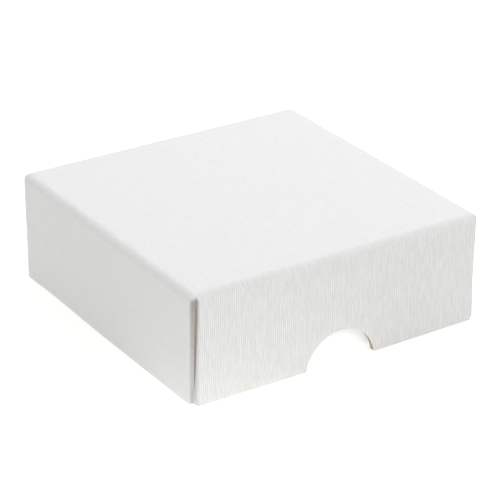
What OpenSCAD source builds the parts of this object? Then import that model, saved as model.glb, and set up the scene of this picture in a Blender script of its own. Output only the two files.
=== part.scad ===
// Lift-off-lid jewelry gift box: a shallow base, a full-depth lid with a thumb notch in its front and
// back skirts, and a flocked foam pad. Base and lid are trays built the same way: five grey boards are
// held by one white cover sheet, which is folded round every edge and turned in behind the rims, by a
// bent kraft stay in each corner, and by a paper liner on the floor of the tray.
// Millimetres. The origin is the centre of the base's underside; the front faces -Y and +Z is up.

/* [Overall size] */
// Width of the lid over its outer faces, left to right
lid_w = 90; // [62:0.5:200]
// Depth of the lid over its outer faces, front to back
lid_d = 90; // [62:0.5:200]
// Height of the closed box
box_h = 31.5; // [25:0.5:90]

/* [Sheet and board] */
// Thickness of the grey board
board_t = 1.5; // [1:0.1:2.5]
// Thickness of each tray's cover sheet
cover_t = 0.2; // [0.12:0.01:0.3]
// Thickness of the paper liners on the two inner floors
liner_t = 0.15; // [0.08:0.01:0.3]
// Thickness of the kraft corner stays
stay_t = 0.15; // [0.08:0.01:0.3]
// Outer radius of the folds round the flat of each tray
fold_r = 2.5; // [1.8:0.1:3.5]

/* [Corners] */
// Extra set-back of a wall panel's end beyond the neighbouring wall's thickness
panel_end_gap = 0.1; // [0.05:0.01:0.12]
// Gap between the flat board and the boards that stand round it
hinge_gap = 0.1; // [0.05:0.01:0.3]
// Depth of the cover sheet bridging each corner, below the flat of the tray
corner_web = 0.6; // [0.4:0.1:1.2]
// Length of each leg of a corner stay
stay_leg = 9; // [5:0.5:12]
// Height at which a corner stay starts, over the flat of its tray
stay_start = 3.4; // [3:0.1:6]
// Distance from the end of a corner stay to the rim
stay_end = 1; // [0.5:0.1:3]

/* [Fits] */
// Gap on each side between the base and the inside of the lid
fit_gap = 0.45; // [0.3:0.05:1]
// Height of the lid's rim over the surface that the closed box stands on
skirt_gap = 0.3; // [0.2:0.1:2]
// Gap between the base's rim and the inside of the lid's top
rim_gap = 0.05; // [0.02:0.01:0.5]
// Gap on each side between the pad and the base
pad_gap = 0.25; // [0.15:0.05:1]
// Gap between a liner's edges and the walls round it
liner_gap = 0.1; // [0.05:0.05:0.5]

/* [Thumb notches] */
// Diameter of the round punch that cuts the notches
notch_dia = 22; // [12:0.5:26]
// Distance of the punch's centre below the lid's rim
notch_drop = 1.7; // [0:0.1:4]

/* [Pad] */
// Thickness of the foam
foam_t = 14; // [11:0.5:18]
// Thickness of the flocked sheet on the foam
flock_t = 0.6; // [0.3:0.1:1.5]
// Length of the ring slit
ring_slit = 26; // [16:1:30]
// Length of each chain slit
chain_slit = 9; // [5:0.5:12]
// Width of the slits
slit_w = 0.8; // [0.5:0.1:1.5]
// Depth of the slits and pin holes below the flocked face
slit_depth = 9; // [5:0.5:10]
// Distance of the chain slits from the pad's back and side edges
chain_inset = 13; // [9:0.5:15]
// Diameter of the earring pin holes
pin_dia = 1.2; // [0.8:0.1:2]
// Distance between the two earring pin holes
pin_pitch = 24; // [16:1:30]
// Distance of the earring pin holes behind the ring slit
pin_back = 12; // [6:0.5:14]
// Radius of the finger cut in the pad's front edge
finger_r = 7; // [5:0.5:9]

/* [Hidden] */

$fn = 96;
over = 1; // how far a cutting shape runs past what it cuts

// Each quantity below is measured inwards from a tray's outer face.
skin = cover_t + board_t; // inner face of a board
wall = skin + cover_t; // inner face of a wrapped wall
panel_end = skin + panel_end_gap; // wrapped end of a wall panel
board_end = panel_end + cover_t; // bare end of a wall's board

// Heights
lid_h = box_h - skirt_gap;
ceiling_z = box_h - skin - liner_t;
floor_z = skin + liner_t;
base_h = ceiling_z - rim_gap;

// The base fits inside the lid, and the pad inside the base.
base_w = lid_w - 2 * (wall + fit_gap);
base_d = lid_d - 2 * (wall + fit_gap);
pad_w = base_w - 2 * (wall + pad_gap);
pad_d = base_d - 2 * (wall + pad_gap);
foam_top = floor_z + foam_t;
pad_top = foam_top + flock_t;

cover_colour = "whitesmoke";
board_colour = "rosybrown";
kraft_colour = "peru";
liner_colour = "white";
foam_colour = "gainsboro";
flock_colour = "ivory";

// ---- shapes shared by both trays; a tray stands on its flat with its rim up ----

// A block centred on the Z axis, from z0 up to z1
module block(w, d, z0, z1) {
    translate([-w / 2, -d / 2, z0]) cube([w, d, z1 - z0]);
}

// End view of a tray, set in by `inset`, with a fold at each bottom corner
module fold_profile(w, h, inset) {
    r = fold_r - inset;
    half = w / 2 - inset;
    union() {
        translate([-half, fold_r]) square([2 * half, h - fold_r]);
        translate([-w / 2 + fold_r, inset]) square([w - 2 * fold_r, h - inset]);
        for (side = [-1, 1])
            translate([side * (w / 2 - fold_r), fold_r]) circle(r = r);
    }
}

// Block with folds round all four bottom edges
module folded_block(w, d, h, inset = 0) {
    intersection() {
        translate([0, d / 2 + over, 0]) rotate([90, 0, 0])
            linear_extrude(d + 2 * over) fold_profile(w, h, inset);
        translate([-w / 2 - over, 0, 0]) rotate([90, 0, 90])
            linear_extrude(w + 2 * over) fold_profile(d, h, inset);
    }
}

// One bent corner stay, standing inside the corner at +X +Y of a tray
module stay_blank(w, d, h) {
    out = skin - stay_t;
    x = w / 2 - out;
    y = d / 2 - out;
    translate([0, 0, stay_start]) linear_extrude(h - stay_start - stay_end) polygon([
        [x, y], [x - stay_leg, y], [x - stay_leg, y - stay_t],
        [x - stay_t, y - stay_t], [x - stay_t, y - stay_leg], [x, y - stay_leg]
    ]);
}

// The stay at the left (-1) or right (1), and at the front (-1) or back (1)
module corner_stay(w, d, h, side, end) {
    mirror([side < 0 ? 1 : 0, 0, 0]) mirror([0, end < 0 ? 1 : 0, 0]) stay_blank(w, d, h);
}

module all_stays(w, d, h) {
    for (side = [-1, 1], end = [-1, 1]) corner_stay(w, d, h, side, end);
}

// Where the punch goes through the front and back walls
module notch_cut(d, h) {
    translate([0, d / 2 + over, h + notch_drop]) rotate([90, 0, 0])
        cylinder(d = notch_dia, h = d + 2 * over);
}

// The space between the cover sheet and its turn-ins, which the boards fill
module board_space(w, d, h) {
    intersection() {
        folded_block(w, d, h, cover_t);
        union() {
            block(w - 2 * skin, d - 2 * skin, 0, skin);
            difference() {
                union() {
                    block(w - 2 * board_end, d, 0, h - cover_t);
                    block(w, d - 2 * board_end, 0, h - cover_t);
                }
                block(w - 2 * skin, d - 2 * skin, -over, h);
            }
        }
    }
}

// The one cover sheet of a tray: outer faces, folds, wrapped rims and panel ends, and turn-ins
module cover(w, d, h) {
    difference() {
        intersection() {
            folded_block(w, d, h);
            union() {
                block(w - 2 * panel_end, d, 0, h);
                block(w, d - 2 * panel_end, 0, h);
                block(w, d, 0, corner_web);
            }
        }
        board_space(w, d, h);
        block(w - 2 * wall, d - 2 * wall, skin, h + over);
        all_stays(w, d, h);
    }
}

// The board across the flat of a tray
module flat_board(w, d, h) {
    reach = 2 * (skin + hinge_gap);
    intersection() {
        folded_block(w, d, h, cover_t);
        block(w - reach, d - reach, cover_t, skin);
    }
}

// The board standing at the front (-1) or back (1) of a tray
module front_or_back_board(w, d, h, end) {
    difference() {
        intersection() {
            folded_block(w, d, h, cover_t);
            translate([0, end * (d / 2 - cover_t - board_t / 2), 0])
                block(w - 2 * board_end, board_t, 0, h - cover_t);
        }
        all_stays(w, d, h);
    }
}

// The board standing at the left (-1) or right (1) of a tray
module side_board(w, d, h, side) {
    difference() {
        intersection() {
            folded_block(w, d, h, cover_t);
            translate([side * (w / 2 - cover_t - board_t / 2), 0, 0])
                block(board_t, d - 2 * board_end, 0, h - cover_t);
        }
        all_stays(w, d, h);
    }
}

// The liner glued to the flat board inside a tray
module liner(w, d) {
    reach = 2 * (wall + liner_gap);
    block(w - reach, d - reach, skin, skin + liner_t);
}

// ---- base ----

module base_bottom_board() {
    color(board_colour) flat_board(base_w, base_d, base_h);
}

module base_front_board() {
    color(board_colour) front_or_back_board(base_w, base_d, base_h, -1);
}

module base_back_board() {
    color(board_colour) front_or_back_board(base_w, base_d, base_h, 1);
}

module base_left_board() {
    color(board_colour) side_board(base_w, base_d, base_h, -1);
}

module base_right_board() {
    color(board_colour) side_board(base_w, base_d, base_h, 1);
}

module base_cover() {
    color(cover_colour) cover(base_w, base_d, base_h);
}

module base_liner() {
    color(liner_colour) liner(base_w, base_d);
}

module base_corner_stay(side, end) {
    color(kraft_colour) corner_stay(base_w, base_d, base_h, side, end);
}

// ---- pad ----

// Everything cut into the pad from its flocked face: ring slit, chain slits, pin holes, finger cut
module pad_cuts() {
    cut = slit_depth + over;
    translate([0, 0, pad_top - slit_depth]) {
        block(ring_slit, slit_w, 0, cut);
        for (side = [-1, 1]) {
            translate([side * (pad_w / 2 - chain_inset), pad_d / 2 - chain_inset, 0])
                rotate([0, 0, -side * 45]) block(chain_slit, slit_w, 0, cut);
            translate([side * pin_pitch / 2, pin_back, 0]) cylinder(d = pin_dia, h = cut);
        }
    }
    translate([0, -pad_d / 2, floor_z - over])
        cylinder(r = finger_r, h = pad_top - floor_z + 2 * over);
}

module foam_pad() {
    color(foam_colour) difference() {
        block(pad_w, pad_d, floor_z, foam_top);
        pad_cuts();
    }
}

module flocked_top() {
    color(flock_colour) difference() {
        block(pad_w, pad_d, foam_top, pad_top);
        pad_cuts();
    }
}

// ---- lid: a tray turned over, with its flat at the top ----

module turned_over() {
    translate([0, 0, box_h]) mirror([0, 0, 1]) children();
}

module lid_top_board() {
    color(board_colour) turned_over() flat_board(lid_w, lid_d, lid_h);
}

module lid_front_board() {
    color(board_colour) turned_over() difference() {
        front_or_back_board(lid_w, lid_d, lid_h, -1);
        notch_cut(lid_d, lid_h);
    }
}

module lid_back_board() {
    color(board_colour) turned_over() difference() {
        front_or_back_board(lid_w, lid_d, lid_h, 1);
        notch_cut(lid_d, lid_h);
    }
}

module lid_left_board() {
    color(board_colour) turned_over() side_board(lid_w, lid_d, lid_h, -1);
}

module lid_right_board() {
    color(board_colour) turned_over() side_board(lid_w, lid_d, lid_h, 1);
}

module lid_cover() {
    color(cover_colour) turned_over() difference() {
        cover(lid_w, lid_d, lid_h);
        notch_cut(lid_d, lid_h);
    }
}

module lid_liner() {
    color(liner_colour) turned_over() liner(lid_w, lid_d);
}

module lid_corner_stay(side, end) {
    color(kraft_colour) turned_over() corner_stay(lid_w, lid_d, lid_h, side, end);
}

base_bottom_board();
base_front_board();
base_back_board();
base_left_board();
base_right_board();
base_cover();
base_liner();
base_corner_stay(-1, -1);  // base_corner_stay_front_left
base_corner_stay(1, -1);  // base_corner_stay_front_right
base_corner_stay(-1, 1);  // base_corner_stay_back_left
base_corner_stay(1, 1);  // base_corner_stay_back_right
foam_pad();
flocked_top();
lid_top_board();
lid_front_board();
lid_back_board();
lid_left_board();
lid_right_board();
lid_cover();
lid_liner();
lid_corner_stay(-1, -1);  // lid_corner_stay_front_left
lid_corner_stay(1, -1);  // lid_corner_stay_front_right
lid_corner_stay(-1, 1);  // lid_corner_stay_back_left
lid_corner_stay(1, 1);  // lid_corner_stay_back_right
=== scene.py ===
import math

import bmesh
import bpy
from mathutils import Matrix, Vector, noise


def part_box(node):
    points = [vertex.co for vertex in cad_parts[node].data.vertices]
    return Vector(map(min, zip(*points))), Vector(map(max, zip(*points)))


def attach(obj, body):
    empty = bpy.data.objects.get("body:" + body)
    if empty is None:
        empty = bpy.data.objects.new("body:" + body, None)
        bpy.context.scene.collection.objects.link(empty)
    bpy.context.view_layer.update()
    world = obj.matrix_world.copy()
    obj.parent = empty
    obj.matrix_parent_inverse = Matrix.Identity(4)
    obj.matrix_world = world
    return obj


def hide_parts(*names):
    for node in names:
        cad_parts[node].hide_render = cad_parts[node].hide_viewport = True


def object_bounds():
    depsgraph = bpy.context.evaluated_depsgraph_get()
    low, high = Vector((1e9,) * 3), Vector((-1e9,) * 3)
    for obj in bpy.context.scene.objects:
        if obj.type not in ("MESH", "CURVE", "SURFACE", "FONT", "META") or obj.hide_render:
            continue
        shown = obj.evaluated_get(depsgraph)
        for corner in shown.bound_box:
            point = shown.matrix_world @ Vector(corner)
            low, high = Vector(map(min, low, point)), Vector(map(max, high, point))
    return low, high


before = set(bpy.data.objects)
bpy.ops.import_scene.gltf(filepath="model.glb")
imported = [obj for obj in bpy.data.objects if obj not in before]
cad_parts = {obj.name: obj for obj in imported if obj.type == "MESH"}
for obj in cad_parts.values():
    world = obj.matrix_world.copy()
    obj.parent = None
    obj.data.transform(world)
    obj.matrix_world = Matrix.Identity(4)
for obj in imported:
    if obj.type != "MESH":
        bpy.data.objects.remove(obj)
cad_low, cad_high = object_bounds()
MM = 0.001

# ---- Table, light and camera ----------------------------------------------------------------
# The box stands on a white light table that glows all round it, and more before its front left corner
# and under the front notch. Soft boxes stand in front, at the left, behind and at the right. The camera
# looks down at the front left corner on a long lens.
scene = bpy.context.scene
scene.view_settings.view_transform = "Standard"

mid = (cad_low + cad_high) / 2
CAMERA_AZIMUTH = math.radians(-32.78)
CAMERA_HEIGHT_ANGLE = math.radians(25.89)
CAMERA_DISTANCE = 608.7 * MM
aim = Vector((mid.x - 0.34 * MM, mid.y - 2.49 * MM, cad_low.z + 15.3 * MM))
towards_camera = Vector((
    math.sin(CAMERA_AZIMUTH) * math.cos(CAMERA_HEIGHT_ANGLE),
    -math.cos(CAMERA_AZIMUTH) * math.cos(CAMERA_HEIGHT_ANGLE),
    math.sin(CAMERA_HEIGHT_ANGLE),
))
camera_data = bpy.data.cameras.new("camera")
camera_data.lens = 160.6
camera_data.sensor_width = 36
camera_data.clip_start = 0.01
camera_data.clip_end = 20
camera = bpy.data.objects.new("camera", camera_data)
scene.collection.objects.link(camera)
camera.location = aim + towards_camera * CAMERA_DISTANCE
camera.rotation_euler = (-towards_camera).to_track_quat("-Z", "Y").to_euler()
scene.camera = camera


def add_piece(name, bm, material=None):
    """Turns a bmesh into an object at the origin, and frees it."""
    mesh = bpy.data.meshes.new(name)
    bm.to_mesh(mesh)
    bm.free()
    piece = bpy.data.objects.new(name, mesh)
    scene.collection.objects.link(piece)
    if material:
        mesh.materials.append(material)
    return piece


TABLE_SIZE = 6.0
bm = bmesh.new()
bmesh.ops.create_grid(bm, x_segments=1, y_segments=1, size=TABLE_SIZE / 2)
bmesh.ops.translate(bm, verts=bm.verts, vec=(0, 0, cad_low.z))
table_material = bpy.data.materials.new("light_table")
table_material.use_nodes = True
nodes = table_material.node_tree.nodes
links = table_material.node_tree.links
table_shader = nodes["Principled BSDF"]
table_shader.inputs["Base Color"].default_value = (0.62, 0.62, 0.605, 1)
table_shader.inputs["Roughness"].default_value = 0.9
table_shader.inputs["Specular IOR Level"].default_value = 0.1
table_shader.inputs["Emission Color"].default_value = (1.0, 0.985, 0.945, 1)
coordinates = nodes.new("ShaderNodeTexCoord")


def pool_of_light(centre, full, end, strength):
    """A round patch of glow: full strength as far out as full, and nothing beyond end."""
    away = nodes.new("ShaderNodeVectorMath")
    away.operation = "DISTANCE"
    links.new(coordinates.outputs["Object"], away.inputs[0])
    away.inputs[1].default_value = centre
    fade = nodes.new("ShaderNodeMapRange")
    fade.interpolation_type = "SMOOTHSTEP"
    for key, value in (("From Min", full), ("From Max", end), ("To Min", strength), ("To Max", 0)):
        fade.inputs[key].default_value = value
    links.new(away.outputs["Value"], fade.inputs["Value"])
    return fade.outputs["Result"]


wide_pool = pool_of_light((mid.x, mid.y, cad_low.z), 0.7, 2.0, 0.50)
corner_pool = pool_of_light((cad_low.x + 5 * MM, cad_low.y - 8 * MM, cad_low.z), 5 * MM, 55 * MM, 0.45)
notch_pool = pool_of_light((mid.x + 1 * MM, cad_low.y + 1 * MM, cad_low.z), 4 * MM, 10 * MM, 0.9)
glow = wide_pool
for pool in (corner_pool, notch_pool):
    total = nodes.new("ShaderNodeMath")
    total.operation = "ADD"
    links.new(glow, total.inputs[0])
    links.new(pool, total.inputs[1])
    glow = total.outputs[0]
links.new(glow, table_shader.inputs["Emission Strength"])
table = add_piece("light_table", bm, table_material)

world = bpy.data.worlds.new("room")
world.use_nodes = True
world.node_tree.nodes["Background"].inputs["Color"].default_value = (1, 1, 1, 1)
world.node_tree.nodes["Background"].inputs["Strength"].default_value = 0.2
scene.world = world

LAMP_AIM = Vector((mid.x, mid.y, cad_low.z + 15 * MM))


def soft_box(name, place, size, power, colour=(1, 1, 1)):
    light = bpy.data.lights.new(name, "AREA")
    light.shape = "SQUARE"
    light.size = size
    light.energy = power
    light.color = colour
    lamp = bpy.data.objects.new(name, light)
    scene.collection.objects.link(lamp)
    lamp.location = place
    lamp.rotation_euler = (LAMP_AIM - Vector(place)).to_track_quat("-Z", "Y").to_euler()
    lamp.visible_camera = False


soft_box("front_soft_box", (0.2, -0.9, 1.2), 1.2, 11.7)
soft_box("left_soft_box", (-0.9, -0.2, 1.2), 1.2, 8.9)
soft_box("low_back_soft_box", (0, 0.35, 0.3), 0.3, 0.24)
soft_box("low_right_soft_box", (0.35, 0.1, 0.3), 0.25, 0.35)
soft_box("back_right_soft_box", (0.9, 0.9, 0.9), 0.9, 8.3, (0.965, 0.975, 1.0))


# ---- Cover sheets ---------------------------------------------------------------------------
# One sheet of white paper covers each tray, linen-embossed on the lid and smooth on the base: flat
# across the board, folded over its four edges, wrapped round every wall panel's ends and rim, and
# turned in down the inside.
class Nodes:
    """Short names for the few kinds of node that the papers, boards and foams share."""

    def __init__(self, name):
        self.material = bpy.data.materials.new(name)
        self.material.use_nodes = True
        self.tree = self.material.node_tree
        self.shader = self.tree.nodes["Principled BSDF"]

    def add(self, kind, **settings):
        node = self.tree.nodes.new(kind)
        for key, value in settings.items():
            setattr(node, key, value)
        return node

    def feed(self, socket, value):
        if isinstance(value, bpy.types.NodeSocket):
            self.tree.links.new(value, socket)
        else:
            socket.default_value = value

    def maths(self, operation, a, b=0.0, c=0.0):
        node = self.add("ShaderNodeMath", operation=operation)
        for socket, value in zip(node.inputs, (a, b, c)):
            self.feed(socket, value)
        return node.outputs[0]

    def spread(self, value, low, high, to_low=0.0, to_high=1.0):
        node = self.add("ShaderNodeMapRange", interpolation_type="SMOOTHSTEP")
        for key, number in (("From Min", low), ("From Max", high), ("To Min", to_low), ("To Max", to_high)):
            node.inputs[key].default_value = number
        self.feed(node.inputs["Value"], value)
        return node.outputs["Result"]

    def place(self, stretch=(1, 1, 1)):
        """Object coordinates in millimetres, stretched along each axis."""
        coordinates = self.add("ShaderNodeTexCoord")
        node = self.add("ShaderNodeVectorMath", operation="MULTIPLY")
        self.feed(node.inputs[0], coordinates.outputs["Object"])
        node.inputs[1].default_value = [1000 * k for k in stretch]
        return node.outputs[0]

    def cloud(self, vector, size, detail=2.0, rough=0.5):
        """Noise whose patches are about size across, in the vector's own units."""
        node = self.add("ShaderNodeTexNoise")
        self.feed(node.inputs["Vector"], vector)
        node.inputs["Scale"].default_value = 1 / size
        node.inputs["Detail"].default_value = detail
        node.inputs["Roughness"].default_value = rough
        return node.outputs["Fac"]

    def colours(self, value, *stops):
        node = self.add("ShaderNodeValToRGB")
        ramp = node.color_ramp
        while len(ramp.elements) < len(stops):
            ramp.elements.new(0.5)
        for element, (place, colour) in zip(ramp.elements, stops):
            element.position = place
            element.color = (*colour, 1)
        self.feed(node.inputs["Fac"], value)
        return node.outputs["Color"]

    def bump(self, height, depth, strength=1.0, normal=None):
        node = self.add("ShaderNodeBump")
        node.inputs["Strength"].default_value = strength
        node.inputs["Distance"].default_value = depth
        self.feed(node.inputs["Height"], height)
        if normal:
            self.feed(node.inputs["Normal"], normal)
        return node.outputs["Normal"]

    def finish(self, colour, rough, normal, specular=0.3):
        self.feed(self.shader.inputs["Base Color"], colour)
        self.feed(self.shader.inputs["Roughness"], rough)
        self.feed(self.shader.inputs["Normal"], normal)
        self.shader.inputs["Specular IOR Level"].default_value = specular
        return self.material


WARP_PITCH = 0.605 * MM  # from thread to thread across the sheet
WEFT_PITCH = 0.66 * MM
EMBOSS = 0.07 * MM  # depth of the emboss
WEAVE_MIDDLE = 0.45  # middle height of the weave, as a share of its depth
# Paper colour on the weave's ridges, and darker in its hollows: the darkening in the hollows is painted shade
PAPER_LIGHT = (0.835, 0.835, 0.835)
PAPER_HOLLOW_SHADE = (0.655, 0.655, 0.652)
PAINTED_RECESS_SHADE = (0.45, 0.44, 0.43)  # painted shade: the colour the paper is multiplied by inside each corner recess
SLUB_STRETCH = 0.16  # how slowly a thread's thickness changes along it
PRESSED = 0.4  # share of the weave's height that is left across the flat
PRESSED_SIDES = -0.08  # how much more of it is left on the left and right walls
PRESSED_FRONT_BACK = 0.65  # and on the front and back walls
lid_low, lid_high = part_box("lid_cover")
base_low, base_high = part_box("base_cover")
WALL_BEGINS = (lid_high.x - 2 * MM, lid_high.x + 1 * MM)  # from the sheet's middle, over the fold


def linen_paper():
    """A plain weave pressed into white paper, laid out on the flat sheet's own UV map."""
    n = Nodes("linen_paper")
    split = n.add("ShaderNodeSeparateXYZ")
    n.feed(split.inputs[0], n.add("ShaderNodeUVMap", uv_map="sheet").outputs["UV"])
    wander = n.cloud(n.place(), 9.0)
    across = n.maths("MULTIPLY_ADD", split.outputs["X"], 1 / WARP_PITCH, n.maths("MULTIPLY", wander, 0.7))
    along = n.maths("MULTIPLY_ADD", split.outputs["Y"], 1 / WEFT_PITCH, n.maths("MULTIPLY", wander, -0.6))
    over = n.maths("MULTIPLY", n.maths("COSINE", n.maths("MULTIPLY", along, math.pi)),
                   n.maths("COSINE", n.maths("MULTIPLY", n.maths("FLOOR", across), math.pi)))

    def thread(crossing, length, share, seed):
        """One set of threads: a round ridge each, thicker and thinner along its length."""
        number = n.maths("FLOOR", crossing)
        slub = n.add("ShaderNodeTexNoise", noise_dimensions="2D")
        where = n.add("ShaderNodeCombineXYZ")
        n.feed(where.inputs["X"], n.maths("MULTIPLY_ADD", number, 3.7, seed))
        n.feed(where.inputs["Y"], n.maths("MULTIPLY", length, SLUB_STRETCH))
        n.feed(slub.inputs["Vector"], where.outputs[0])
        slub.inputs["Scale"].default_value = 1.0
        slub.inputs["Detail"].default_value = 2.0
        ridge = n.maths("ABSOLUTE", n.maths("SINE", n.maths("MULTIPLY", crossing, math.pi)))
        thick = n.spread(slub.outputs["Fac"], 0.25, 0.75, 0.45, 1.15)
        return n.maths("MULTIPLY", n.maths("MULTIPLY", n.maths("POWER", ridge, 1.5), thick), share)

    warp_high = thread(across, along, n.maths("MULTIPLY_ADD", over, 0.2, 0.8), 0.5)
    weft_high = thread(along, across, n.maths("MULTIPLY_ADD", over, -0.22, 0.25), 70.5)
    weave = n.maths("MAXIMUM", warp_high, weft_high)
    # It stands up best on the front and back walls, and the two side walls were pressed flattest
    on_wall = [
        n.spread(n.maths("ABSOLUTE", split.outputs[axis]), *WALL_BEGINS, 0.0, most)
        for axis, most in (("X", PRESSED_SIDES), ("Y", PRESSED_FRONT_BACK))
    ]
    pressed = n.maths("ADD", PRESSED, n.maths("ADD", *on_wall))
    weave = n.maths("MULTIPLY_ADD", n.maths("SUBTRACT", weave, WEAVE_MIDDLE), pressed, WEAVE_MIDDLE)
    fibres = n.cloud(n.place(), 0.25, detail=3.0)
    normal = n.bump(weave, EMBOSS, normal=n.bump(fibres, 0.012 * MM, 0.5))
    # Painted shade: inside each corner recess the paper's colour is multiplied by the recess shade colour
    painted_recess_shade = n.add("ShaderNodeAttribute", attribute_name="painted_recess_shade").outputs["Fac"]
    tint = n.add("ShaderNodeMix", data_type="RGBA", blend_type="MULTIPLY")
    n.feed(tint.inputs["Factor"], painted_recess_shade)
    # Painted shade: the weave's hollows are coloured darker than its ridges
    n.feed(tint.inputs[6], n.colours(weave, (0.0, PAPER_HOLLOW_SHADE), (0.9, PAPER_LIGHT)))
    tint.inputs[7].default_value = (*PAINTED_RECESS_SHADE, 1)
    rough = n.spread(weave, 0.0, 1.0, 0.72, 0.58)
    return n.finish(tint.outputs[2], rough, normal, 0.35)


PAPER_GLOW = 0.12  # a little light of its own, so that the paper in the notch looks as white as the table


def smooth_paper():
    """The base's own paper: brighter, and plain but for the fine tooth of the sheet."""
    n = Nodes("smooth_paper")
    tooth = n.cloud(n.place(), 0.22, detail=3.0, rough=0.6)
    mottle = n.cloud(n.place(), 7.0, detail=4.0, rough=0.6)
    colour = n.colours(mottle, (0.3, (0.915, 0.915, 0.91)), (0.7, (0.935, 0.935, 0.93)))
    n.shader.inputs["Emission Color"].default_value = (0.97, 0.98, 1.0, 1)
    n.shader.inputs["Emission Strength"].default_value = PAPER_GLOW
    return n.finish(colour, n.spread(mottle, 0.3, 0.7, 0.6, 0.68), n.bump(tooth, 0.012 * MM), 0.35)


linen = linen_paper()

SHEET = 0.2 * MM  # thickness of the paper
FOLD_R = 2.5 * MM  # outer radius of the folds round the flat
EDGE_R = 0.3 * MM  # outer radius where the sheet wraps a board's rim
END_R = 0.85 * MM  # outer radius where it wraps a panel's end
CORNER_R = 1.0 * MM  # rounding of the closed corner above each recess
SPLIT = 1.3 * MM  # how far round from the corner's diagonal the two panels part, towards the front
SLOT_DEPTH = 1.38 * MM  # depth at which the kraft stay shows between two panel ends
WALL = 1.9 * MM  # board with paper on both faces
TURN_IN_END = 1.75 * MM  # how near the flat the turn-ins reach
CORNER_OPENS = (0.35 * MM, 2.3 * MM)  # depths between which the recess opens below the flat
SLOT_FROM = 3.4 * MM  # depth at which the slot between the panel ends starts
SLOT_CLEAR = 0.1 * MM  # least distance from the slot to the rounding of a panel's end
CORNER_FLAT = 0.6 * MM  # how far a closed corner's stations run on past its rounding
CORNER_GROWS = FOLD_R / 4  # depth over which a corner's rounding comes in
# How far a panel's end stands back from the box's corner, at the flat and at the rim
FAR_BACK = (0.85 * MM, 1.5 * MM)
WORN_BACK = (1.2 * MM, 1.7 * MM)
SHORT_BACK = (2.45 * MM, 1.22 * MM)
ODD_CORNER = 1  # where the overlap is the other way round; corners are numbered round from side 0's end
WORN_CORNER = 3  # whose far-reaching end stands back a little more
RECESS_SHADE_AT_RIM = 0.4  # strength of the painted recess shade at the rim, against 1 by the flat
RECESS_SHADE_SET_BACK = 0.5  # and on a panel end that stands back, against 1 on one that reaches far
RECESS_SHADE_FROM = 0.25 * MM  # how far round a panel's end it starts
RECESS_SHADE_OVER = 1.1 * MM  # and how much further round it is full
FACE_CELLS = 44  # divisions along a side
END_STEPS = 8  # stations round one panel end
FOLD_STEPS = 18  # rows round the fold
WALL_ROWS = 14  # rows down a wall
RIM_STEPS = 4  # rows round each edge of a rim
TURN_IN_ROWS = 7
MID_RIM = 0.5  # how far over the rim its middle and its inner edge count as
END_RIM = 0.9


def smooth(x):
    x = min(max(x, 0.0), 1.0)
    return x * x * (3 - 2 * x)


def mix(a, b, t):
    return a + (b - a) * t


def corner_at(side, positive):
    """Number of the corner at one end of a side."""
    return side if positive else (side - 1) % 4


def reaches_far(side, positive):
    """Whether a panel reaches further than its neighbour: the left and right ones do, but at one corner."""
    return (side % 2 == 1) != (corner_at(side, positive) == ODD_CORNER)


def set_back(side, positive, share):
    """How far a panel's end stands back from the box's corner, from the flat (share 0) to the rim."""
    if not reaches_far(side, positive):
        return mix(*SHORT_BACK, share)
    worn = corner_at(side, positive) == WORN_CORNER
    return mix(*(WORN_BACK if worn else FAR_BACK), share)


def closed_corner(out, r, far, step, grown=1):
    """A rounded square corner, from the line where the panels part (step 0) to the panel's face."""
    quarter_arc = r * math.pi / 4
    start = -SPLIT * grown if far else SPLIT * grown
    length = mix(start, max(start, quarter_arc) + CORNER_FLAT * grown, step / END_STEPS)
    if abs(length) <= quarter_arc:
        turn = math.pi / 4 + (length / r if r else 0)
        return out - r + r * math.cos(turn), out - r + r * math.sin(turn), length
    beyond = abs(length) - quarter_arc
    if length > 0:
        return out - r - beyond, out, length
    return out, out - r - beyond, length


def panel_end(half, out, back, inset, step):
    """A wrapped panel end, from the slot (step 0) round to the face, drawn in by inset."""
    end = half - back - inset
    r = END_R - inset
    centre = half - back - END_R
    slot = min(half - SLOT_DEPTH, out - END_R - SLOT_CLEAR)
    if step == 0:
        return end, slot
    if step == 1:
        return end, (slot + out - END_R) / 2
    turn = math.radians(90 * (step - 2) / (END_STEPS - 2))
    return centre + r * math.cos(turn), out - END_R + r * math.sin(turn)


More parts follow.
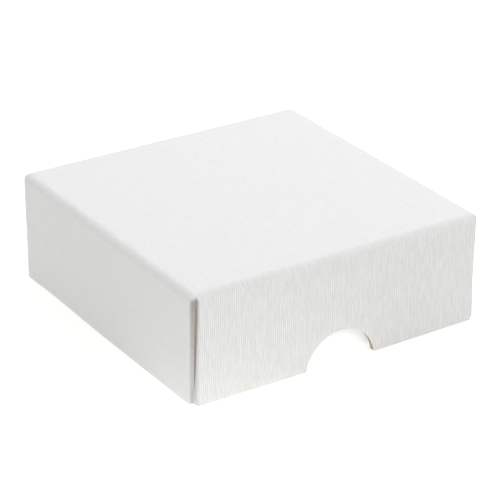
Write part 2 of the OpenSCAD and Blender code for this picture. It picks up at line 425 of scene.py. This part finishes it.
def sheet_levels(half, height):
    """The rows of the sheet, from the edge of the flat to the end of the turn-in.

    Each row is (out, depth, inset, opened, inner, length): distance from the axis, depth below the
    flat, how far a panel's end is drawn in, how open the corner is, how far the row has gone over
    the rim, and the length along the sheet."""
    rows = []
    fold_start = half - FOLD_R
    for k in range(FOLD_STEPS + 1):
        turn = math.radians(90 * k / FOLD_STEPS)
        out = fold_start + FOLD_R * math.sin(turn)
        depth = FOLD_R * (1 - math.cos(turn))
        rows.append((out, depth, 0, depth, 0, fold_start + FOLD_R * turn))
    length = fold_start + FOLD_R * math.pi / 2
    wall_end = height - EDGE_R
    for k in range(1, WALL_ROWS + 1):
        depth = mix(FOLD_R, wall_end, k / WALL_ROWS)
        rows.append((half, depth, 0, depth, 0, length + depth - FOLD_R))
    length += wall_end - FOLD_R
    for k in range(1, RIM_STEPS + 1):
        turn = math.radians(90 * k / RIM_STEPS)
        inset = EDGE_R * (1 - math.cos(turn))
        depth = wall_end + EDGE_R * math.sin(turn)
        rows.append((half - inset, depth, inset, height, 0, length + EDGE_R * turn))
    length += EDGE_R * math.pi / 2
    flat = WALL - 2 * EDGE_R
    rows.append((half - EDGE_R - flat / 2, height, EDGE_R, height, MID_RIM, length + flat / 2))
    rows.append((half - EDGE_R - flat, height, EDGE_R, height, END_RIM, length + flat))
    length += flat
    for k in range(1, RIM_STEPS + 1):
        turn = math.radians(90 * k / RIM_STEPS)
        out = half - WALL + EDGE_R * (1 - math.sin(turn))
        depth = height - EDGE_R * (1 - math.cos(turn))
        inner = mix(END_RIM, 1, k / RIM_STEPS)
        rows.append((out, depth, EDGE_R, height, inner, length + EDGE_R * turn))
    length += EDGE_R * math.pi / 2
    for k in range(1, TURN_IN_ROWS + 1):
        depth = mix(wall_end, TURN_IN_END, k / TURN_IN_ROWS)
        rows.append((half - WALL, depth, EDGE_R, height, 1, length + wall_end - depth))
    return rows


def wrapped_tray(half, height):
    """The cover sheet of a tray that stands on its flat, as a closed shell with a flat-sheet UV map."""
    bm = bmesh.new()
    uv_layer = bm.loops.layers.uv.new("sheet")
    station = bm.verts.layers.int.new("station")
    flat_s = bm.verts.layers.float.new("flat_s")
    flat_v = bm.verts.layers.float.new("flat_v")
    painted_recess_shade = bm.verts.layers.float.new("painted_recess_shade")
    per_side = FACE_CELLS + 1 + 2 * END_STEPS
    quarter = [Matrix.Rotation(math.radians(90 * k), 3, "Z") for k in range(4)]

    def put(vert, row):
        out, depth, inset, open_depth, inner, length = row
        side, i = divmod(vert[station], per_side)
        opened = smooth((open_depth - CORNER_OPENS[0]) / (CORNER_OPENS[1] - CORNER_OPENS[0]))
        share = depth / height
        grown = min(1, depth / CORNER_GROWS)

        def end_point(positive, step):
            far = reaches_far(side, positive)
            closed = closed_corner(out, CORNER_R * grown, far, step, grown)
            back = set_back(side, positive, share)
            point = panel_end(half, min(out + inset, half), back, inset, step)
            s = mix(closed[0], point[0], opened)
            o = mix(closed[1], point[1], opened)
            inside = closed_corner(half - WALL, EDGE_R / 2, far, step)
            return mix(s, inside[0], inner), mix(o, inside[1], inner)

        low_end = -end_point(False, END_STEPS)[0]
        high_end = end_point(True, END_STEPS)[0]
        vert[painted_recess_shade] = 0
        if i < END_STEPS or i > END_STEPS + FACE_CELLS:
            positive = i > END_STEPS
            sign = 1 if positive else -1
            step = per_side - 1 - i if positive else i
            s, o = end_point(positive, step)
            wrap = sum(
                math.dist(end_point(positive, k), end_point(positive, k + 1))
                for k in range(step, END_STEPS)
            )
            vert[flat_s] = sign * (abs(high_end if positive else low_end) + wrap)
            # Painted shade round a panel's end in the corner recess: strongest by the flat and on
            # far-reaching ends
            recess_shade_share = mix(1, RECESS_SHADE_AT_RIM, share) * (1 if reaches_far(side, positive) else RECESS_SHADE_SET_BACK)
            vert[painted_recess_shade] = opened * recess_shade_share * smooth((wrap - RECESS_SHADE_FROM) / RECESS_SHADE_OVER)
            s *= sign
        else:
            s = mix(low_end, high_end, (i - END_STEPS) / FACE_CELLS)
            o = out
            vert[flat_s] = s
        vert[flat_v] = length
        place = quarter[side] @ Vector((s, -o, 0))
        vert.co = (place.x, place.y, depth)

    rows = sheet_levels(half, height)
    ring = bmesh.ops.create_circle(bm, segments=4 * per_side, radius=half)["verts"]
    for k, vert in enumerate(ring):
        vert[station] = k
    for vert in ring:
        put(vert, rows[0])
    edges = list(bm.edges)
    slot_faces = []
    for above, row in zip(rows, rows[1:]):
        added = bmesh.ops.extrude_edge_only(bm, edges=edges)["geom"]
        verts = {v for v in added if isinstance(v, bmesh.types.BMVert)}
        edges = [e for e in added if isinstance(e, bmesh.types.BMEdge) and all(v in verts for v in e.verts)]
        for vert in verts:
            put(vert, row)
        on_wall = row[2] == 0 and row[4] == 0
        if on_wall and above[1] >= SLOT_FROM:
            for face in (f for f in added if isinstance(f, bmesh.types.BMFace)):
                if {v[station] % per_side for v in face.verts} == {0, per_side - 1}:
                    slot_faces.append(face)
    for face in bm.faces:
        sides = [v[station] // per_side for v in face.verts]
        side = max(set(sides), key=lambda k: (sides.count(k), -k))
        sign = 1 if sum(v[flat_s] for v in face.verts if v[station] // per_side == side) > 0 else -1
        for loop in face.loops:
            v = loop.vert
            s = v[flat_s] if v[station] // per_side == side else sign * abs(v[flat_s])
            flat = quarter[side] @ Vector((s, -v[flat_v], 0))
            loop[uv_layer].uv = (flat.x, flat.y)
    bmesh.ops.delete(bm, geom=slot_faces, context="FACES")
    before = set(bm.faces)
    bmesh.ops.create_grid(bm, x_segments=FACE_CELLS, y_segments=FACE_CELLS, size=half - FOLD_R)
    for face in set(bm.faces) - before:
        for loop in face.loops:
            loop[uv_layer].uv = loop.vert.co.xy
    bm.verts.layers.int.remove(station)
    for name in ("flat_s", "flat_v"):
        bm.verts.layers.float.remove(bm.verts.layers.float[name])
    bmesh.ops.remove_doubles(bm, verts=bm.verts, dist=0.01 * MM)
    bmesh.ops.recalc_face_normals(bm, faces=bm.faces)
    # The tray stands on its flat, whose outside faces down
    flat_face = min(bm.faces, key=lambda f: f.calc_center_median().length)
    if flat_face.normal.z > 0:
        bmesh.ops.reverse_faces(bm, faces=bm.faces)
    return bm


def keep_result(piece):
    """Applies a piece's modifiers to its mesh."""
    bpy.context.view_layer.update()
    mesh = bpy.data.meshes.new_from_object(piece.evaluated_get(bpy.context.evaluated_depsgraph_get()))
    piece.modifiers.clear()
    old = piece.data
    piece.data = mesh
    bpy.data.meshes.remove(old)
    mesh.name = piece.name


def shade(piece, angle=35):
    piece.data.shade_smooth()
    piece.data.set_sharp_from_angle(angle=math.radians(angle))


def give_thickness(piece, thickness):
    solid = piece.modifiers.new("thickness", "SOLIDIFY")
    solid.thickness = thickness
    solid.offset = -1
    solid.use_quality_normals = True


def cut_away(piece, cutter):
    """Subtracts a cutter's bmesh from a piece."""
    tool = add_piece(piece.name + "_cutter", cutter)
    cut = piece.modifiers.new("cut", "BOOLEAN")
    cut.operation = "DIFFERENCE"
    cut.solver = "EXACT"
    cut.object = tool
    keep_result(piece)
    bpy.data.objects.remove(tool)


NOTCH_R = 11 * MM  # radius of the punch
NOTCH_DROP = 1.7 * MM  # its centre below the rim
# How far each wall of the lid has sprung outwards at its rim: at one end, in the middle, at the other end
SPRING = {
    "front": (0.65 * MM, 0.7 * MM, 0.05 * MM),
    "back": (0.05 * MM, 0.2 * MM, 0.05 * MM),
    "left": (0.15 * MM, 0.3 * MM, -0.3 * MM),
    "right": (0.05 * MM, 0.15 * MM, 0.05 * MM),
}
LEAN_CURVE = 1.3  # over 1, a wall leans more towards its rim
LEAN_STARTS = 1.5 * MM  # how far inside a wall's inner face nothing leans
LEAN_GROWS = 1.4 * MM  # and over how much the lean comes in towards the wall
CORNER_BLEND = 0.3 * MM  # how near a corner's diagonal two walls share their lean


def spring(co):
    """Leans the walls of the lid outwards from the fold down, each by its own amount."""
    half = lid_high.x
    down = min(max((lid_high.z - FOLD_R - co.z) / (lid_high.z - lid_low.z - FOLD_R), 0), 1) ** LEAN_CURVE

    def lean(name, along):
        start, middle, end = SPRING[name]
        t = min(max(along / half, -1), 1)
        return down * (middle + (end - start) / 2 * t + ((end + start) / 2 - middle) * t * t)

    def near(out):
        """0 inside the lid, and 1 in the wall."""
        return smooth((out - (half - WALL - LEAN_STARTS)) / LEAN_GROWS)

    diagonal = min(max((abs(co.y) - abs(co.x)) / CORNER_BLEND, -1), 1)
    in_front_or_back = near(abs(co.y)) * min(1, 1 + diagonal)
    in_side = near(abs(co.x)) * min(1, 1 - diagonal)
    across = lean("front" if co.y < 0 else "back", co.x) * in_front_or_back
    aside = lean("left" if co.x < 0 else "right", co.y) * in_side
    return Vector((co.x + math.copysign(aside, co.x), co.y + math.copysign(across, co.y), co.z))


def waver(co, half):
    """Slight unevenness of the glued paper: under a tenth of a millimetre, and less near the middle."""
    rough = noise.noise(Vector((co.x, co.y, co.z)) / (14 * MM))
    fine = noise.noise(Vector((co.x, co.y, co.z)) / (5 * MM) + Vector((3, 7, 1)))
    return co * (1 + (0.05 * MM * rough + 0.02 * MM * fine) / half)


bm = wrapped_tray(lid_high.x, lid_high.z - lid_low.z)
bmesh.ops.rotate(bm, verts=bm.verts, cent=(0, 0, 0), matrix=Matrix.Rotation(math.pi, 3, "X"))
bmesh.ops.translate(bm, verts=bm.verts, vec=(0, 0, lid_high.z))
lid_sheet = add_piece("lid_cover_sheet", bm, linen)
give_thickness(lid_sheet, SHEET)
punch = bmesh.new()
bmesh.ops.create_cone(
    punch, cap_ends=True, segments=96, radius1=NOTCH_R, radius2=NOTCH_R, depth=3 * lid_high.x,
    matrix=Matrix.Translation((0, 0, lid_low.z - NOTCH_DROP)) @ Matrix.Rotation(math.pi / 2, 4, "X"),
)
cut_away(lid_sheet, punch)
for vert in lid_sheet.data.vertices:
    vert.co = spring(waver(vert.co, lid_high.x))
shade(lid_sheet)
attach(lid_sheet, "lid")
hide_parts("lid_cover")

bm = wrapped_tray(base_high.x, base_high.z - base_low.z)
bmesh.ops.translate(bm, verts=bm.verts, vec=(0, 0, base_low.z))
base_sheet = add_piece("base_cover_sheet", bm, smooth_paper())
give_thickness(base_sheet, SHEET)
keep_result(base_sheet)
for vert in base_sheet.data.vertices:
    vert.co = waver(vert.co, base_high.x)
shade(base_sheet)
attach(base_sheet, "base")
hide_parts("base_cover")


# ---- Boards ---------------------------------------------------------------------------------
# Brown-grey recycled board, 1.5 mm thick, under the paper. The lid's front and back boards are
# punched with the paper on them, so their raw cut shows. The lid's walls lean out with their paper.
def grey_board():
    n = Nodes("grey_board")
    layers = n.cloud(n.place(), 0.16, detail=4.0, rough=0.65)
    flecks = n.cloud(n.place(), 0.5, detail=5.0, rough=0.7)
    both = n.maths("MULTIPLY_ADD", flecks, 0.5, n.maths("MULTIPLY", layers, 0.5))
    dark, middle, light = (0.20, 0.165, 0.135), (0.33, 0.285, 0.245), (0.46, 0.41, 0.365)
    colour = n.colours(both, (0.32, dark), (0.5, middle), (0.68, light))
    return n.finish(colour, 0.92, n.bump(both, 0.12 * MM), 0.15)


board_material = grey_board()


BOARD_CLEAR = 0.08 * MM  # between a board's inner edge and the paper round the panel's end
BOARD_CUTS = 9  # cuts each side of a board's middle, so that it can lean with its paper
BOARD_STEP = 4.5 * MM  # from one cut to the next
# Which side of the cover sheet lies on each wall, and whether it runs the same way as the wall's axis
SIDES = {
    "lid": {"back": (0, 1), "right": (1, -1), "front": (2, -1), "left": (3, 1)},
    "base": {"front": (0, 1), "right": (1, 1), "back": (2, -1), "left": (3, -1)},
}


def fitted_board(tray, wall):
    """A copy of a wall board, its ends trimmed to stay inside the paper, and sprung if it is the lid's."""
    node = f"{tray}_{wall}_board"
    low, high = (lid_low, lid_high) if tray == "lid" else (base_low, base_high)
    axis = 0 if wall in ("front", "back") else 1
    along = (1, 0, 0) if axis == 0 else (0, 1, 0)
    side, sign = SIDES[tray][wall]
    bm = bmesh.new()
    bm.from_mesh(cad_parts[node].data)
    bmesh.ops.remove_doubles(bm, verts=bm.verts, dist=0.001 * MM)
    for k in range(-BOARD_CUTS, BOARD_CUTS + 1):
        bmesh.ops.bisect_plane(
            bm, geom=bm.verts[:] + bm.edges[:] + bm.faces[:], dist=0.001 * MM,
            plane_co=Vector(along) * BOARD_STEP * k, plane_no=along,
        )
    for vert in bm.verts:
        share = abs(vert.co.z - (high.z if tray == "lid" else low.z)) / (high.z - low.z)
        s = sign * vert.co[axis]
        on_outside = abs(vert.co[1 - axis]) > high.x - SHEET - 0.1 * MM
        limit = high.x - set_back(side, s > 0, share) - (END_R if on_outside else SHEET + BOARD_CLEAR)
        if abs(s) > limit:
            vert.co[axis] = math.copysign(limit, vert.co[axis])
        if tray == "lid":
            vert.co = spring(vert.co)
    bmesh.ops.dissolve_degenerate(bm, edges=bm.edges, dist=0.002 * MM)
    board = add_piece(node + "_fitted", bm)
    board.data.materials.clear()
    board.data.materials.append(board_material)
    shade(board, 20)
    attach(board, tray)
    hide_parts(node)


for tray in ("base", "lid"):
    for wall in ("front", "back", "left", "right"):
        fitted_board(tray, wall)


def dress(word, material):
    """Gives every CAD piece whose name holds this word its finish."""
    for name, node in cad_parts.items():
        if word in name:
            node.data.materials.clear()
            node.data.materials.append(material)


dress("board", board_material)


# ---- Corner stays and liners ----------------------------------------------------------------
# A strip of brown kraft paper bent round the inside of each corner ties the wall boards together;
# its edge shows as a thin brown line in each recess. Plain white paper lines both inner floors.
def kraft_paper():
    n = Nodes("kraft_paper")
    fibre = n.cloud(n.place((1, 1, 0.2)), 0.35, detail=4.0, rough=0.7)
    colour = n.colours(fibre, (0.3, (0.68, 0.57, 0.46)), (0.7, (0.80, 0.70, 0.59)))
    return n.finish(colour, 0.85, n.bump(fibre, 0.02 * MM), 0.2)


def liner_paper():
    n = Nodes("liner_paper")
    mottle = n.cloud(n.place(), 1.6, detail=5.0, rough=0.6)
    colour = n.colours(mottle, (0.3, (0.74, 0.74, 0.73)), (0.7, (0.80, 0.80, 0.795)))
    return n.finish(colour, n.spread(mottle, 0.3, 0.7, 0.6, 0.75), n.bump(mottle, 0.03 * MM), 0.3)


STAY = 0.15 * MM  # thickness of the kraft paper
STAY_BEND = 0.5 * MM  # outer radius of its bend
kraft = kraft_paper()


def bent_stay(node, moved):
    """A strip of kraft paper with one leg along each wall, bent round the inside of a corner."""
    low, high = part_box(node)
    middle = (low + high) / 2
    legs = Vector((high.x - low.x, high.y - low.y))
    straight = legs.x - STAY_BEND
    arc = STAY_BEND * math.pi / 2
    bm = bmesh.new()
    bmesh.ops.create_grid(bm, x_segments=36, y_segments=14, size=1)
    for vert in bm.verts:
        length = vert.co.x * (straight + arc / 2)
        rise = mix(low.z, high.z, (vert.co.y + 1) / 2)
        if abs(length) <= arc / 2:
            turn = math.pi / 4 + length / STAY_BEND
            x, y = STAY_BEND * math.cos(turn), STAY_BEND * math.sin(turn)
        elif length > 0:
            x, y = -(length - arc / 2), STAY_BEND
        else:
            x, y = STAY_BEND, length + arc / 2
        x_out = legs.x / 2 - STAY_BEND + x
        y_out = legs.y / 2 - STAY_BEND + y
        vert.co = (
            middle.x + math.copysign(1, middle.x) * x_out,
            middle.y + math.copysign(1, middle.y) * y_out,
            rise,
        )
    facing = Vector((middle.x, middle.y, 0))
    bm.normal_update()
    if sum((face.normal.dot(facing) for face in bm.faces)) < 0:
        bmesh.ops.reverse_faces(bm, faces=bm.faces)
    stay = add_piece(node + "_strip", bm, kraft)
    give_thickness(stay, STAY)
    keep_result(stay)
    if moved:
        for vert in stay.data.vertices:
            vert.co = spring(vert.co)
    shade(stay)
    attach(stay, node.split("_")[0])
    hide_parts(node)


for tray in ("base", "lid"):
    for end in ("front", "back"):
        for side in ("left", "right"):
            bent_stay(f"{tray}_corner_stay_{end}_{side}", tray == "lid")

dress("liner", liner_paper())

# ---- Pad ------------------------------------------------------------------------------------
# A slab of white foam with a flocked sheet glued on it, die-cut together: a ring slit, two chain
# slits, two pin holes for earrings, and a finger cut in the front edge to lift it out by.
foam_low, foam_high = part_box("foam_pad")
flock_low, flock_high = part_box("flocked_top")
PAD_CORNER = 1.2 * MM  # rounding of the pad's upright corners
SLIT_WIDTH = 0.8 * MM
SLIT_DEPTH = 9 * MM
RING_SLIT = 26 * MM
CHAIN_SLIT = 9 * MM
CHAIN_INSET = 13 * MM
PIN_R = 0.6 * MM
PIN_SPREAD = 12 * MM  # of each pin hole from the middle
PIN_BACK = 12 * MM
FINGER_R = 7 * MM
PAD_CELLS = 60
# How deep the top sinks at each kind of cut and along the pad's edge, in millimetres
RING_SINK = 0.45
CHAIN_SINK = 0.4
PIN_SINK = 0.3
EDGE_SINK = 0.5
UNEVEN = 0.12
CUT_REACH = 1.6 * MM  # how far from a cut the top sinks
EDGE_REACH = 1.3 * MM  # and from the pad's edge
chain_place = Vector((foam_high.x - CHAIN_INSET, foam_high.y - CHAIN_INSET, 0))


def pad_cutters():
    bm = bmesh.new()

    def slit(place, length, turn):
        bmesh.ops.create_cone(
            bm, cap_ends=True, segments=32, radius1=1, radius2=1, depth=2 * SLIT_DEPTH,
            matrix=Matrix.Translation((place[0], place[1], flock_high.z)) @ Matrix.Rotation(turn, 4, "Z")
            @ Matrix.Diagonal((length / 2, SLIT_WIDTH / 2, 1, 1)),
        )

    slit((0, 0), RING_SLIT, 0)
    for side in (-1, 1):
        slit((side * chain_place.x, chain_place.y), CHAIN_SLIT, -side * math.pi / 4)
        bmesh.ops.create_cone(
            bm, cap_ends=True, segments=20, radius1=PIN_R, radius2=PIN_R, depth=2 * SLIT_DEPTH,
            matrix=Matrix.Translation((side * PIN_SPREAD, PIN_BACK, flock_high.z)),
        )
    bmesh.ops.create_cone(
        bm, cap_ends=True, segments=64, radius1=FINGER_R, radius2=FINGER_R, depth=4 * foam_high.z,
        matrix=Matrix.Translation((0, foam_low.y, foam_high.z)),
    )
    return bm


def from_line(co, middle, length, turn):
    """Distance from a slit's centre line."""
    along = Vector((math.cos(turn), math.sin(turn)))
    away = co.xy - Vector(middle)
    t = min(max(away.dot(along), -length / 2), length / 2)
    return (away - along * t).length


def soften(co):
    """The top sinks a little towards the slits, the pin holes and the pad's own edges."""
    gaps = [(from_line(co, (0, 0), RING_SLIT, 0), RING_SINK)]
    for side in (-1, 1):
        chain = (side * chain_place.x, chain_place.y)
        gaps.append((from_line(co, chain, CHAIN_SLIT, -side * math.pi / 4), CHAIN_SINK))
        gaps.append(((co.xy - Vector((side * PIN_SPREAD, PIN_BACK))).length, PIN_SINK))
    sink = sum(depth * math.exp(-((d / CUT_REACH) ** 2)) for d, depth in gaps)
    edge = min(foam_high.x - abs(co.x), foam_high.y - abs(co.y))
    sink += EDGE_SINK * math.exp(-((max(edge, 0) / EDGE_REACH) ** 2))
    sink += UNEVEN * noise.noise(co / (9 * MM))
    share = max(0, (co.z - foam_low.z) / (flock_high.z - foam_low.z))
    return Vector((co.x, co.y, co.z - sink * MM * share ** 2))


def pad_slab(name, low, high, slices):
    """A slab with rounded upright corners, gridded so that it can sink softly."""
    bm = bmesh.new()
    bmesh.ops.create_grid(bm, x_segments=PAD_CELLS, y_segments=PAD_CELLS, size=high.x)
    for vert in bm.verts:
        corner = Vector((abs(vert.co.x), abs(vert.co.y))) - Vector((high.x - PAD_CORNER, high.y - PAD_CORNER))
        if min(corner) > 0:
            corner = corner.normalized() * min(corner.length, PAD_CORNER)
            vert.co.x = math.copysign(high.x - PAD_CORNER + corner.x, vert.co.x)
            vert.co.y = math.copysign(high.y - PAD_CORNER + corner.y, vert.co.y)
        vert.co.z = low.z
    bottom = bm.faces[:]
    grown = bmesh.ops.extrude_face_region(bm, geom=bottom)["geom"]
    for vert in (v for v in grown if isinstance(v, bmesh.types.BMVert)):
        vert.co.z = high.z
    for k in range(1, slices):
        bmesh.ops.bisect_plane(
            bm, geom=bm.verts[:] + bm.edges[:] + bm.faces[:], dist=0.001 * MM,
            plane_co=(0, 0, mix(low.z, high.z, k / slices)), plane_no=(0, 0, 1),
        )
    bmesh.ops.recalc_face_normals(bm, faces=bm.faces)
    slab = add_piece(name, bm)
    cut_away(slab, pad_cutters())
    for vert in slab.data.vertices:
        vert.co = soften(vert.co)
    shade(slab, 40)
    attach(slab, "pad")
    return slab


def white_foam():
    n = Nodes("white_foam")
    cells = n.add("ShaderNodeTexVoronoi", feature="DISTANCE_TO_EDGE")
    n.feed(cells.inputs["Vector"], n.place())
    cells.inputs["Scale"].default_value = 2.2
    wall = n.spread(cells.outputs["Distance"], 0.0, 0.22)
    patch = n.cloud(n.place(), 3.0)
    # Painted shade: the cells are coloured darker towards their hollow middles; the patches are the foam's
    # own uneven tone
    colour = n.colours(n.maths("MULTIPLY_ADD", patch, 0.3, n.maths("MULTIPLY", wall, 0.7)),
                       (0.1, (0.82, 0.82, 0.80)), (0.9, (0.66, 0.66, 0.64)))
    return n.finish(colour, 0.9, n.bump(n.maths("SUBTRACT", 1.0, wall), 0.12 * MM), 0.2)


def flock():
    n = Nodes("flock")
    pile = n.cloud(n.place(), 0.09, detail=3.0, rough=0.7)
    brushed = n.cloud(n.place((1, 0.35, 1)), 5.0, detail=3.0)
    colour = n.colours(n.maths("MULTIPLY_ADD", brushed, 0.5, n.maths("MULTIPLY", pile, 0.5)),
                       (0.3, (0.70, 0.685, 0.655)), (0.7, (0.83, 0.82, 0.795)))
    material = n.finish(colour, 0.95, n.bump(pile, 0.08 * MM), 0.1)
    n.shader.inputs["Sheen Weight"].default_value = 0.5
    n.shader.inputs["Sheen Roughness"].default_value = 0.4
    return material


foam = pad_slab("foam_block", foam_low, foam_high, 6)
foam.data.materials.append(white_foam())
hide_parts("foam_pad")

flocked = pad_slab("flocked_sheet", flock_low, flock_high, 1)
flocked.data.materials.append(flock())
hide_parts("flocked_top")
